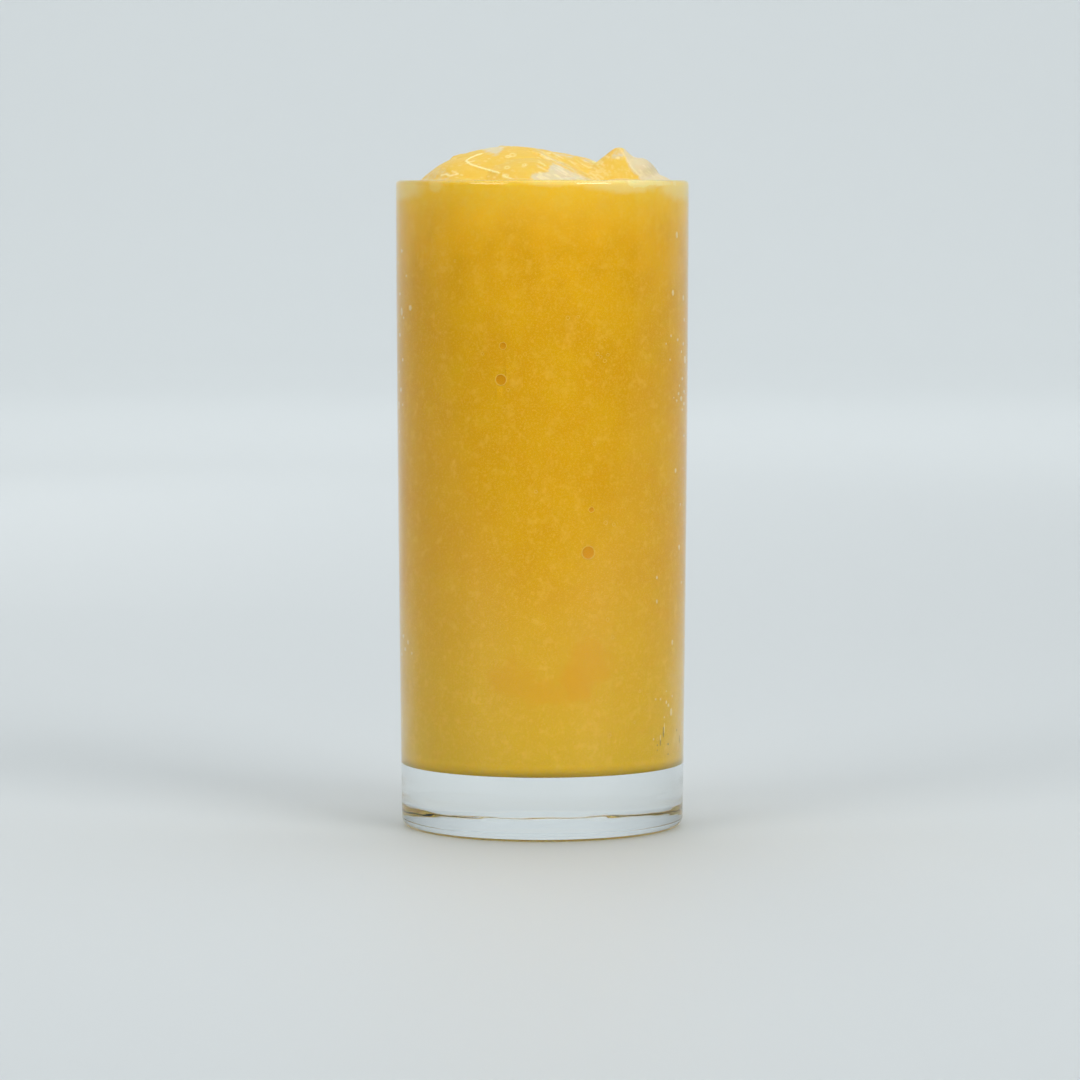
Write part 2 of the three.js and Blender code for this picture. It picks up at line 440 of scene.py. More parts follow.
def join_pieces(name, pieces):
    deselect_all()
    for piece in pieces:
        piece.select_set(True)
    bpy.context.view_layer.objects.active = pieces[0]
    bpy.ops.object.join()
    bpy.ops.object.transform_apply(location=True, rotation=True, scale=True)
    return name_piece(name)


def apply_modifier(piece, kind, **settings):
    make_active(piece)
    modifier = piece.modifiers.new(kind.title(), kind)
    for key, value in settings.items():
        setattr(modifier, key, value)
    bpy.ops.object.modifier_apply(modifier=modifier.name)


def set_smooth(piece):
    make_active(piece)
    bpy.ops.object.shade_smooth_by_angle(angle=math.radians(SMOOTH_ANGLES[piece.name]))


def turn_outline(name, outline, steps):
    """A round piece: the outline is extruded point by point in the XZ plane and spun about Z."""
    deselect_all()
    bpy.ops.mesh.primitive_plane_add(size=MM)
    bpy.ops.object.mode_set(mode="EDIT")
    bpy.ops.mesh.merge(type="CENTER")
    bpy.ops.transform.translate(value=(outline[0].x, 0, outline[0].y))
    for here, there in zip(outline, outline[1:]):
        step = there - here
        bpy.ops.mesh.extrude_vertices_move(TRANSFORM_OT_translate={"value": (step.x, 0, step.y)})
    bpy.ops.mesh.select_all(action="SELECT")
    bpy.ops.mesh.spin(steps=steps, angle=math.tau, center=(0, 0, 0), axis=(0, 0, 1))
    bpy.ops.mesh.select_all(action="SELECT")
    bpy.ops.mesh.remove_doubles(threshold=WELD)
    bpy.ops.mesh.normals_make_consistent(inside=False)
    bpy.ops.object.mode_set(mode="OBJECT")
    return name_piece(name)


def arc(x, z, radius, start, end):
    """Points of an arc about (x, z), from one angle to the other in degrees."""
    angles = [math.radians(start + (end - start) * i / ARC_STEPS) for i in range(ARC_STEPS + 1)]
    return [Vector((x + radius * math.cos(a), z + radius * math.sin(a))) for a in angles]


def wall(radius_at, start, end):
    """Points up or down a wall between two heights, both ends left out. The first and last lie close to the
    ends, so that the shading of the round corners doesn't spread over the wall."""
    near = math.copysign(WALL_GUARD, end - start)
    inside = [start + (end - start) * (i + 1) / (WALL_STEPS + 1) for i in range(WALL_STEPS)]
    return [Vector((radius_at(z), z)) for z in (start + near, *inside, end - near)]


def mix(a, b, share):
    return a + (b - a) * share


# The glass's shape, which the drink follows too

def outer_radius(sizes, z):
    below = 1 - z / RIM_HEIGHT
    return mix(sizes.foot_radius, RIM_RADIUS, 1 - below ** sizes.taper_power)


def inner_radius(sizes, z):
    share = (z - sizes.base_thickness) / (RIM_HEIGHT - sizes.base_thickness)
    return outer_radius(sizes, z) - mix(sizes.low_wall, sizes.rim_wall, share)


def tumbler_outline(sizes):
    lip_height = RIM_HEIGHT - sizes.rim_wall / 2
    lip_middle = (outer_radius(sizes, lip_height) + inner_radius(sizes, lip_height)) / 2
    lip = outer_radius(sizes, lip_height) - lip_middle
    corner = sizes.floor_corner
    corner_height = sizes.base_thickness + corner
    heel = sizes.heel_radius
    hollow_inside = sizes.hollow_radius - sizes.hollow_edge
    crown = [i / HOLLOW_STEPS for i in range(1, HOLLOW_STEPS)]
    across, up = HOLLOW_BEND
    return [
        Vector((0, sizes.hollow_depth + sizes.hollow_crown)),
        *[Vector((hollow_inside * out, sizes.hollow_depth + sizes.hollow_crown * (1 - out ** 2)))
          for out in crown],
        Vector((hollow_inside, sizes.hollow_depth)),
        Vector((sizes.hollow_radius - across * sizes.hollow_edge, up * sizes.hollow_depth)),
        Vector((sizes.hollow_radius, 0)),
        *arc(outer_radius(sizes, heel) - heel, heel, heel, -90, 0),
        *wall(lambda z: outer_radius(sizes, z), heel, lip_height),
        *arc(lip_middle, lip_height, lip, 0, 180),
        *wall(lambda z: inner_radius(sizes, z), lip_height, corner_height),
        *arc(inner_radius(sizes, corner_height) - corner, corner_height, corner, 0, -90),
        Vector((0, sizes.base_thickness)),
    ]


# Where the photograph shows a spot

def photo_line(px, py):
    """The camera's place and the direction in which it sees a pixel of the photograph."""
    right = (px - AXIS_PX) / FOCAL_PX
    up = (PHOTO_PX / 2 - py) / FOCAL_PX
    direction = Vector((
        right,
        math.cos(CAMERA_PITCH) + up * math.sin(CAMERA_PITCH),
        up * math.cos(CAMERA_PITCH) - math.sin(CAMERA_PITCH),
    ))
    return Vector((0, -CAMERA_DISTANCE, CAMERA_HEIGHT)), direction.normalized()


def heap_spot(tree, px, py):
    """The point and normal of the heap that the photograph shows at a pixel."""
    origin, direction = photo_line(px, py)
    place, normal, _, _ = tree.ray_cast(origin, direction)
    return place, normal


def top_spot(tree, x, y):
    """The point and normal of the heap that is seen from straight above."""
    place, normal, _, _ = tree.ray_cast(Vector((x, y, RIM_HEIGHT + 30 * MM)), Vector((0, 0, -1)))
    return place, normal


def wall_spot(sizes, px, py, out=0.0):
    """The place and outward normal on the drink's wall that shows at a pixel, bent by the glass in front. The
    place lies as far out from the inside of the glass as out says."""
    origin, direction = photo_line(px, py)
    z = CAMERA_HEIGHT
    for _ in range(BEND_ROUNDS):
        outside = outer_radius(sizes, z)
        inside = inner_radius(sizes, z)
        sine = max(-FLATTEST_SINE, min(FLATTEST_SINE, origin.y * direction.x / -outside))
        arrive = math.asin(sine)
        bent = math.asin(sine / GLASS_IOR)
        turn = arrive - bent + math.asin(sine / GLASS_IOR * outside / inside)
        forward = CAMERA_DISTANCE - outside * math.cos(arrive)
        z = CAMERA_HEIGHT + direction.z / direction.y * forward
    normal = Vector((math.sin(turn), -math.cos(turn), 0))
    return normal * (inside + out) + Vector((0, 0, z)), normal


# Materials

def put(tree, kind, inputs=None, **settings):
    """Adds a node. Each of its inputs is given a value or another node's output."""
    node = tree.nodes.new(kind)
    for key, value in settings.items():
        setattr(node, key, value)
    for key, value in (inputs or {}).items():
        if isinstance(value, bpy.types.NodeSocket):
            tree.links.new(value, node.inputs[key])
        else:
            node.inputs[key].default_value = value
    return node


def start_material(name):
    material = bpy.data.materials.new(name)
    material.use_nodes = True
    material.node_tree.nodes.clear()
    return material, material.node_tree


def give_material(piece, material):
    piece.data.materials.clear()
    piece.data.materials.append(material)


def with_alpha(colour):
    """A plain colour as a socket takes it. Another node's output stays as it is."""
    return colour if isinstance(colour, bpy.types.NodeSocket) else (*colour, 1)


def noise(tree, place, scale, detail, roughness):
    inputs = {"Vector": place, "Scale": scale, "Detail": detail, "Roughness": roughness}
    return put(tree, "ShaderNodeTexNoise", inputs).outputs["Fac"]


def remap(tree, value, low, high, to_low=0.0, to_high=1.0):
    inputs = {"Value": value, "From Min": low, "From Max": high, "To Min": to_low, "To Max": to_high}
    return put(tree, "ShaderNodeMapRange", inputs, interpolation_type="SMOOTHSTEP").outputs["Result"]


def blend(tree, share, a, b):
    """Mixes two colours, each a plain one or another node's output."""
    inputs = {0: share, 6: with_alpha(a), 7: with_alpha(b)}
    return put(tree, "ShaderNodeMix", inputs, data_type="RGBA", clamp_factor=True).outputs[2]


def maths(tree, operation, a, b=0.5, clamp=False):
    return put(tree, "ShaderNodeMath", {0: a, 1: b}, operation=operation, use_clamp=clamp).outputs[0]


def pattern(tree, place, name):
    shape, values = PATTERNS[name]
    return remap(tree, noise(tree, place, *shape), *values)


def relief(tree, place, shape, strength, depth):
    bump = {"Height": noise(tree, place, *shape), "Strength": strength, "Distance": depth}
    return put(tree, "ShaderNodeBump", bump).outputs[0]


def glass_material(look):
    """Clear glass with a slightly uneven base. Rays towards the lamps pass straight through it, so that they
    light the drink."""
    material, tree = start_material("clear glass")
    place = put(tree, "ShaderNodeTexCoord").outputs["Object"]
    height = put(tree, "ShaderNodeSeparateXYZ", {0: place}).outputs["Z"]
    stretched = put(tree, "ShaderNodeMapping", {"Vector": place, "Scale": BASE_WAVES}).outputs[0]
    waves = noise(tree, stretched, *BASE_WAVES_NOISE)
    waves = maths(tree, "MULTIPLY", waves, remap(tree, height, *BASE_WAVES_FADE))
    strength, depth = BASE_WAVES_BUMP
    bump = put(tree, "ShaderNodeBump", {"Height": waves, "Strength": strength, "Distance": depth})
    clear = put(tree, "ShaderNodeBsdfPrincipled", {
        "Base Color": with_alpha(look.glass_tint),
        "Roughness": 0.0,
        "IOR": GLASS_IOR,
        "Transmission Weight": 1.0,
        "Normal": bump.outputs[0],
    })
    through = put(tree, "ShaderNodeBsdfTransparent", {"Color": with_alpha(look.glass_tint)})
    path = put(tree, "ShaderNodeLightPath")
    both = put(tree, "ShaderNodeMixShader",
               {0: path.outputs["Is Shadow Ray"], 1: clear.outputs[0], 2: through.outputs[0]})
    put(tree, "ShaderNodeOutputMaterial", {"Surface": both.outputs[0]})
    return material


def soft_spot(tree, place, middle, half_sizes):
    """A share that falls from 1 in the middle of an ellipsoid to 0 past its edge."""
    offset = put(tree, "ShaderNodeVectorMath", {0: place, 1: tuple(middle)}, operation="SUBTRACT").outputs[0]
    scaled = put(tree, "ShaderNodeVectorMath", {0: offset, 1: tuple(Vector(half_sizes) * MM)},
                 operation="DIVIDE").outputs[0]
    length = put(tree, "ShaderNodeVectorMath", {0: scaled}, operation="LENGTH").outputs["Value"]
    return remap(tree, length, *SPOT_EDGE)


def soft_spots(tree, place, spots):
    """The strongest of several soft spots, each given by its middle, half sizes in millimetres and
    strength."""
    share = 0.0
    for middle, half_sizes, strength in spots:
        spot = maths(tree, "MULTIPLY", soft_spot(tree, place, middle, half_sizes), strength)
        share = maths(tree, "MAXIMUM", share, spot)
    return share


def wobbled(tree, place, scale, amount):
    """The place, shifted unevenly, so that a pattern on it gets a ragged edge."""
    inputs = {"Vector": place, "Scale": scale, "Detail": WOBBLE_DETAIL}
    shift = put(tree, "ShaderNodeTexNoise", inputs).outputs["Color"]
    middle = {0: shift, 1: (0.5, 0.5, 0.5)}
    centred = put(tree, "ShaderNodeVectorMath", middle, operation="SUBTRACT").outputs[0]
    scaled = put(tree, "ShaderNodeVectorMath", {0: centred, "Scale": amount}, operation="SCALE").outputs[0]
    return put(tree, "ShaderNodeVectorMath", {0: place, 1: scaled}, operation="ADD").outputs[0]


def wall_colour(tree, look, place):
    """The drink behind the glass: golden pulp with faint clouds, a fine grain and hair-thin froth rings,
    duller towards the floor as a painted reflection of the base, and brighter towards the rim and near the
    base as painted light.
    """
    mottle = maths(tree, "MULTIPLY", pattern(tree, place, "mottles"), MOTTLE_SHARE)
    grain = maths(tree, "MULTIPLY", pattern(tree, place, "grain"), GRAIN_SHARE)
    height = put(tree, "ShaderNodeSeparateXYZ", {0: place}).outputs["Z"]
    # Painted reflection dulls the drink towards the floor; painted light brightens it towards the rim and
    # near the base
    lower = remap(tree, height, *LOW_PAINTED_REFLECTION)
    main = blend(tree, lower, look.mango, look.mango_low_reflected)
    main = blend(tree, remap(tree, height, *HIGH_PAINTED_LIGHT), main, look.mango_high_lit)
    deep = blend(tree, lower, look.mango_deep, look.mango_low_reflected)
    colour = blend(tree, pattern(tree, place, "clouds"), deep, main)
    colour = blend(tree, remap(tree, height, *FLOOR_GLOW), colour, look.mango_floor)
    colour = blend(tree, mottle, colour, look.mango_pale)
    colour = blend(tree, grain, colour, look.mango_pale)
    cell = put(tree, "ShaderNodeTexVoronoi", {"Vector": place, "Scale": RING_CELLS}).outputs["Distance"]
    ring = maths(tree, "MULTIPLY", remap(tree, cell, *RING_RISE), remap(tree, cell, *RING_FALL))
    some = maths(tree, "MULTIPLY", pattern(tree, place, "ring clusters"), RING_SHARE)
    ring = maths(tree, "MULTIPLY", ring, some)
    return blend(tree, ring, colour, look.mango_pale)


def heap_colour(tree, look, place, pale_spots, main, pale, melted):
    """The heap: lighter, airier pulp with ragged cream areas where ice has melted, threads of froth and
    painted highlights. With the wall's top colours it paints the same pattern brighter just under the rim,
    painted light.
    """
    mottle = maths(tree, "MULTIPLY", pattern(tree, place, "heap mottles"), HEAP_MOTTLE_SHARE)
    grain = maths(tree, "MULTIPLY", pattern(tree, place, "heap grain"), HEAP_GRAIN_SHARE)
    colour = blend(tree, mottle, main, pale)
    colour = blend(tree, grain, colour, pale)
    patches = soft_spots(tree, wobbled(tree, place, *RIM_WOBBLE), pale_spots)
    cream = put(tree, "ShaderNodeAttribute", attribute_name="cream").outputs["Fac"]
    ragged = maths(tree, "SUBTRACT", noise(tree, place, *CREAM_NOISE), 0.5)
    ragged = maths(tree, "MULTIPLY", ragged, CREAM_RAGGED)
    cream = remap(tree, maths(tree, "ADD", cream, ragged), *CREAM_SETS_IN)
    cream = maths(tree, "MULTIPLY", cream, CREAM_COVER)
    colour = blend(tree, maths(tree, "MAXIMUM", patches, cream), colour, melted)
    # The froth attribute holds pale froth and the painted highlights along the lip and the left glint
    threads = put(tree, "ShaderNodeAttribute", attribute_name="froth").outputs["Fac"]
    return blend(tree, threads, colour, look.froth)


def painted_side_sheen(tree, place, height):
    """How strongly the wall's sides and back are painted paler, a painted reflection of the pale surroundings
    that the glass mirrors at grazing angles, as seen from the front.
    """
    sideways = put(tree, "ShaderNodeSeparateXYZ", {0: wobbled(tree, place, *SHEEN_WOBBLE)}).outputs["Y"]
    low = remap(tree, height, *LOW_SHEEN, 0, LOW_SHEEN_SHARE)
    high = remap(tree, height, *HIGH_SHEEN, 0, HIGH_SHEEN_SHARE)
    sheen = maths(tree, "MULTIPLY", maths(tree, "ADD", low, high), remap(tree, sideways, *SHEEN_SIDES))
    shape, values = SHEEN_CLOUDS
    return maths(tree, "MULTIPLY", sheen, remap(tree, noise(tree, place, *shape), *values))


def drink_colour(tree, look, patches, top_colours):
    """The drink's colour all over: the wall's, which pales towards the rim into the heap's. On the wall the
    top colours are brighter copies of the heap's, painted light where light comes in through the rim, and
    partly paler froth.
    """
    place = put(tree, "ShaderNodeTexCoord").outputs["Object"]
    height = put(tree, "ShaderNodeSeparateXYZ", {0: place}).outputs["Z"]
    low = wall_colour(tree, look, place)
    deep = soft_spots(tree, wobbled(tree, place, *DEEP_WOBBLE), patches["deep"])
    low = blend(tree, deep, low, look.mango_deepest)
    # Painted reflection: the sides and back of the wall painted paler, for the pale surroundings that the
    # glass mirrors at grazing angles
    low = blend(tree, painted_side_sheen(tree, place, height), low, look.wall_froth)
    # On the wall the top colours carry painted light from the rim
    start, end = RIM_FADE
    rise = maths(tree, "POWER", remap(tree, height, RIM_HEIGHT + start, RIM_HEIGHT + end), RIM_FADE_POWER)
    return place, blend(tree, rise, low, heap_colour(tree, look, place, patches["rim"], *top_colours))


def moist_skin(tree, colour, finish, **more):
    """The drink's shader, into which light sinks a little way."""
    gloss, roughness = finish
    skin = put(tree, "ShaderNodeBsdfPrincipled", {
        "Base Color": colour,
        "Roughness": roughness,
        "IOR": DRINK_IOR,
        "Specular IOR Level": gloss,
        **SUBSURFACE,
        **more,
    })
    put(tree, "ShaderNodeOutputMaterial", {"Surface": skin.outputs[0]})


def drink_material(look, name, patches, top_colours, finish):
    material, tree = start_material(name)
    place, colour = drink_colour(tree, look, patches, top_colours)
    moist_skin(tree, colour, finish, Normal=relief(tree, place, *DRINK_RELIEF))
    return material


def shaded_pit_material(look):
    """The inside of the air pits: the drink in a darker colour, painted shade of a hollow."""
    material, tree = start_material("painted shade in the pits")
    moist_skin(tree, with_alpha(look.pit), PIT_FINISH)
    return material


# The settings that a user would change

class SmoothieTumbler(bpy.types.PropertyGroup):
    foot_radius: bpy.props.FloatProperty(
        name="Foot radius", description="Outer radius of the wall at the bottom",
        default=0.0338, unit="LENGTH")
    taper_power: bpy.props.FloatProperty(
        name="Taper power", description="How much of the wall's taper is low down", default=1.6)
    rim_wall: bpy.props.FloatProperty(
        name="Rim wall", description="Thickness of the wall at the rim", default=0.002, unit="LENGTH")
    low_wall: bpy.props.FloatProperty(
        name="Low wall", description="Thickness of the wall above the base", default=0.0025, unit="LENGTH")
    base_thickness: bpy.props.FloatProperty(
        name="Base", description="Height of the floor inside", default=0.0152, unit="LENGTH")
    floor_corner: bpy.props.FloatProperty(
        name="Floor corner", description="Radius between the floor and the wall inside",
        default=0.003, unit="LENGTH")
    heel_radius: bpy.props.FloatProperty(
        name="Heel", description="Radius of the lower outer edge", default=0.0025, unit="LENGTH")
    hollow_radius: bpy.props.FloatProperty(
        name="Hollow radius", description="Radius of the hollow underneath", default=0.0275, unit="LENGTH")
    hollow_edge: bpy.props.FloatProperty(
        name="Hollow edge", description="Width of the hollow's slope", default=0.0012, unit="LENGTH")
    hollow_depth: bpy.props.FloatProperty(
        name="Hollow depth", description="Depth of the hollow at its edge", default=0.001, unit="LENGTH")
    hollow_crown: bpy.props.FloatProperty(
        name="Hollow crown", description="How much deeper the hollow is in the middle",
        default=0.0005, unit="LENGTH")


class SmoothieLook(bpy.types.PropertyGroup):
    glass_tint: bpy.props.FloatVectorProperty(
        name="Glass", description="Tint of the clear glass", default=(0.94, 0.97, 0.975), subtype="COLOR")
    mango: bpy.props.FloatVectorProperty(
        name="Mango", description="Main colour of the drink", default=(0.79, 0.461, 0.003), subtype="COLOR")
    mango_deep: bpy.props.FloatVectorProperty(
        name="Deep mango", description="Faint deeper clouds", default=(0.77, 0.425, 0.002), subtype="COLOR")
    mango_high_lit: bpy.props.FloatVectorProperty(
        # Painted light: the drink brighter towards the rim
        name="High mango", description="The drink's shade towards the rim", default=(0.88, 0.50, 0.004),
        subtype="COLOR")
    # Painted reflection of the base: the drink duller towards the floor
    mango_low_reflected: bpy.props.FloatVectorProperty(
        name="Low mango", description="The drink's shade towards the floor", default=(0.755, 0.48, 0.004),
        subtype="COLOR")
    mango_floor: bpy.props.FloatVectorProperty(
        name="Mango at the floor", description="The drink's shade where light from the base reaches it",
        default=(0.94, 0.585, 0.008), subtype="COLOR")
    mango_deepest: bpy.props.FloatVectorProperty(
        name="Deepest mango", description="The deepest patch", default=(0.78, 0.43, 0.0005), subtype="COLOR")
    # Painted shade: the pits' insides darker, as if in a hollow's shadow
    pit: bpy.props.FloatVectorProperty(
        name="Pits", description="Inside of the air pits", default=(0.765, 0.365, 0.0005), subtype="COLOR")
    mango_pale: bpy.props.FloatVectorProperty(
        name="Pale mango", description="Paler mottles and grain",
        default=(0.90, 0.58, 0.065), subtype="COLOR")
    heap: bpy.props.FloatVectorProperty(
        name="Heap", description="Main colour of the heap", default=(0.80, 0.505, 0.05), subtype="COLOR")
    heap_pale: bpy.props.FloatVectorProperty(
        name="Pale heap", description="Paler mottles of the heap",
        default=(0.83, 0.58, 0.13), subtype="COLOR")
    # Painted light: brighter copies of the heap's colours just under the rim, where light comes in through
    # the rim, and partly paler froth
    under_rim_lit: bpy.props.FloatVectorProperty(
        name="Under the rim", description="The drink behind the glass just under the rim",
        default=(0.98, 0.61, 0.035), subtype="COLOR")
    under_rim_lit_pale: bpy.props.FloatVectorProperty(
        name="Pale under the rim", description="Paler mottles just under the rim",
        default=(0.98, 0.69, 0.13), subtype="COLOR")
    under_rim_lit_cream: bpy.props.FloatVectorProperty(
        name="Cream under the rim", description="Melted ice just under the rim", default=(0.98, 0.85, 0.43),
        subtype="COLOR")
    cream: bpy.props.FloatVectorProperty(
        name="Cream", description="Melted ice", default=(0.70, 0.61, 0.405), subtype="COLOR")
    pit_rim: bpy.props.FloatVectorProperty(
        name="Pit rims", description="Pale rims of the air pits", default=(0.88, 0.58, 0.05), subtype="COLOR")
    # Also painted light: the sides and back of the wall are painted paler with it, a painted reflection, and
    # the pale specks low on the right are painted highlights
    wall_froth: bpy.props.FloatVectorProperty(
        name="Froth at the wall", description="Flecks between the drink and the glass",
        default=(0.90, 0.71, 0.34), subtype="COLOR")
    # Painted shade: dark specks standing for tiny air pockets in shadow
    speck: bpy.props.FloatVectorProperty(
        name="Specks", description="Specks of painted shade in air pockets", default=(0.34, 0.25, 0.05), subtype="COLOR")
    # Also the colour of the painted highlights along the heap's lip and left glint
    froth: bpy.props.FloatVectorProperty(
        name="Froth", description="Threads of froth", default=(0.98, 0.88, 0.50), subtype="COLOR")


class SmoothieDrink(bpy.types.PropertyGroup):
    overlap: bpy.props.FloatProperty(
        name="Overlap", description="How far the drink reaches into the glass",
        default=0.00015, unit="LENGTH")
    fill_below_rim: bpy.props.FloatProperty(
        name="Below the rim", description="Depth below the rim at which the drink leaves the wall",
        default=0.00025, unit="LENGTH")
    meniscus: bpy.props.FloatProperty(
        name="Meniscus", description="Radius of the drink's edge at the wall", default=0.0006, unit="LENGTH")
    voxel: bpy.props.FloatProperty(
        name="Heap grid", description="Size of the grid that melts the heap's lobes together",
        default=0.00045, unit="LENGTH")
    fine_voxel: bpy.props.FloatProperty(
        name="Fine grid", description="Size of the grid that melts the rolled edges in",
        default=0.00034, unit="LENGTH")
    lump_size: bpy.props.FloatProperty(
        name="Lump size", description="Size of the slush's lumps", default=0.0026, unit="LENGTH")
    lump_rise: bpy.props.FloatProperty(
        name="Lump rise", description="How far the slush's lumps rise", default=0.00032, unit="LENGTH")
    cut_below_rim: bpy.props.FloatProperty(
        name="Heap cut", description="Depth below the rim at which the heap gives way to the drink's wall",
        default=0.0045, unit="LENGTH")


class SmoothieStage(bpy.types.PropertyGroup):
    floor_radius: bpy.props.FloatProperty(
        name="Floor radius", description="Radius of the level floor", default=2.6, unit="LENGTH")
    cove_radius: bpy.props.FloatProperty(
        name="Cove", description="Radius of the curve between the floor and the wall",
        default=1.2, unit="LENGTH")
    floor_colour: bpy.props.FloatVectorProperty(
        name="Floor", description="Colour of the pale floor", default=(0.58, 0.615, 0.625), subtype="COLOR")
    front_colour: bpy.props.FloatVectorProperty(
        name="Front of the floor", description="Colour of the floor in front, which the glass mirrors",
        default=(0.28, 0.30, 0.305), subtype="COLOR")
    sky: bpy.props.FloatProperty(name="Sky", description="Strength of the even light", default=0.7)


# The operators, one for each piece or group of like pieces

class SMOOTHIE_OT_tumbler(bpy.types.Operator):
    """Turns the clear glass with its thick base and rounded rim"""
    bl_idname = "smoothie.tumbler"
    bl_label = "Tumbler"

    def execute(self, context):
        scene = context.scene
        piece = turn_outline("tumbler", tumbler_outline(scene.smoothie_tumbler), ROUND_STEPS)
        set_smooth(piece)
        give_material(piece, glass_material(scene.smoothie_look))
        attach(piece, BODY)
        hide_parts("glass")
        return {"FINISHED"}


def add_lobe(middle, half_sizes, turn, lean):
    deselect_all()
    bpy.ops.mesh.primitive_ico_sphere_add(subdivisions=5, radius=1)
    lobe = bpy.context.object
    lobe.scale = Vector(half_sizes) * MM
    lobe.rotation_euler = (0, math.radians(lean), math.radians(turn))
    lobe.location = Vector(middle) * MM + Vector((0, 0, RIM_HEIGHT))
    return lobe


def add_peak():
    deselect_all()
    bpy.ops.mesh.primitive_cone_add(
        vertices=48, radius1=PEAK["foot_radius"] * MM, radius2=PEAK["tip_radius"] * MM,
        depth=PEAK["height"] * MM)
    peak = bpy.context.object
    peak.rotation_euler.y = math.radians(PEAK["lean"])
    peak.location = Vector(PEAK["foot"]) * MM + Vector((0, 0, RIM_HEIGHT + PEAK["height"] * MM / 2))
    return peak


def add_plug(sizes, drink):
    """The top of the drink inside the rim, which the lobes melt into."""
    level = RIM_HEIGHT - drink.fill_below_rim
    foot = RIM_HEIGHT - drink.cut_below_rim - PLUG_OVERLAP
    radius = inner_radius(sizes, level) + drink.overlap
    deselect_all()
    bpy.ops.mesh.primitive_cylinder_add(
        vertices=ROUND_STEPS, radius=radius, depth=level - foot, location=(0, 0, (level + foot) / 2))
    plug = bpy.context.object
    apply_modifier(plug, "BEVEL", width=drink.meniscus, segments=5, limit_method="ANGLE")
    return plug


def add_skirt(rng):
    """Low lumps all round between the heap and the wall."""
    lumps = []
    for i in range(SKIRT["count"]):
        turn = math.tau * (i + rng.uniform(*SKIRT["turn"])) / SKIRT["count"]
        reach = rng.uniform(*SKIRT["reach"])
        middle = (reach * math.cos(turn), reach * math.sin(turn), rng.uniform(*SKIRT["height"]))
        half_sizes = [rng.uniform(*sizes) for sizes in SKIRT["half_sizes"]]
        lumps.append(add_lobe(middle, half_sizes, math.degrees(turn), 0))
    return lumps


def melt(piece, voxel, softening):
    """Melts overlapping lobes into one skin and softens the creases."""
    apply_modifier(piece, "REMESH", mode="VOXEL", voxel_size=voxel)
    apply_modifier(piece, "SMOOTH", factor=0.5, iterations=softening)


def surface_tree(piece):
    return BVHTree.FromObject(piece, bpy.context.evaluated_depsgraph_get())


def steps_along(points, step):
    """Evenly spaced points along a line of points."""
    places = [Vector(point) for point in points]
    steps = []
    for here, there in zip(places, places[1:]):
        count = max(1, round((there - here).length / step))
        steps += [here.lerp(there, i / count) for i in range(count)]
    return [*steps, places[-1]]


def add_bead(place, radius):
    deselect_all()
    bpy.ops.mesh.primitive_ico_sphere_add(subdivisions=2, radius=radius, location=place)
    return bpy.context.object


def add_rolls(tree):
    """Rows of beads just under the heap's skin, which rise as rolled edges once they melt into it."""
    beads = []
    for line, radius in FRONT_ROLLS.values():
        for step in steps_along(line, ROLL_STEP_PX):
            place, normal = heap_spot(tree, step.x, step.y)
            beads.append(add_bead(place - normal * radius * ROLL_SINK * MM, radius * MM))
    for line, radius in BACK_ROLLS.values():
        for step in steps_along(line, ROLL_STEP_MM):
            place, normal = top_spot(tree, step.x * MM, step.y * MM)
            beads.append(add_bead(place - normal * radius * ROLL_SINK * MM, radius * MM))
    return beads


def slush(piece, size, rise):
    """Uneven lumps on the heap, which fade out towards the wall."""
    group = piece.vertex_groups.new(name="slush")
    for vertex in piece.data.vertices:
        radius = math.hypot(vertex.co.x, vertex.co.y)
        group.add([vertex.index], max(0, min(1, (SLUSH_RADIUS - radius) / SLUSH_FADE)), "REPLACE")
    lumps = bpy.data.textures.new("slush lumps", "CLOUDS")
    lumps.noise_scale = size
    lumps.noise_depth = SLUSH_DETAIL
    apply_modifier(piece, "DISPLACE", texture=lumps, texture_coords="LOCAL", strength=rise, mid_level=0.5,
                   vertex_group="slush")
    piece.vertex_groups.clear()


def photo_pixel(place):
    """The pixel of the photograph at which a place shows."""
    offset = place - Vector((0, -CAMERA_DISTANCE, CAMERA_HEIGHT))
    depth = offset.y * math.cos(CAMERA_PITCH) - offset.z * math.sin(CAMERA_PITCH)
    up = offset.y * math.sin(CAMERA_PITCH) + offset.z * math.cos(CAMERA_PITCH)
    return AXIS_PX + FOCAL_PX * offset.x / depth, PHOTO_PX / 2 - FOCAL_PX * up / depth


def depth_inside(outline, x, y):
    """How deep a pixel lies inside an outline of pixels. It is negative outside."""
    inside = False
    nearest = math.inf
    for (ax, ay), (bx, by) in zip(outline, [*outline[1:], outline[0]]):
        if (ay > y) != (by > y) and x < ax + (bx - ax) * (y - ay) / (by - ay):
            inside = not inside
        length = (bx - ax) ** 2 + (by - ay) ** 2
        share = max(0, min(1, ((x - ax) * (bx - ax) + (y - ay) * (by - ay)) / length))
        nearest = min(nearest, math.hypot(ax + share * (bx - ax) - x, ay + share * (by - ay) - y))
    return nearest if inside else -nearest


def creaminess(place):
    """How creamy the heap is where the photograph shows it."""
    x, y = photo_pixel(place)
    shares = [solid * max(0, min(1, 0.5 + depth_inside(outline, x, y) / CREAM_EDGE_PX))
              for outline, solid in CREAM_AREAS.values()]
    return max(shares)


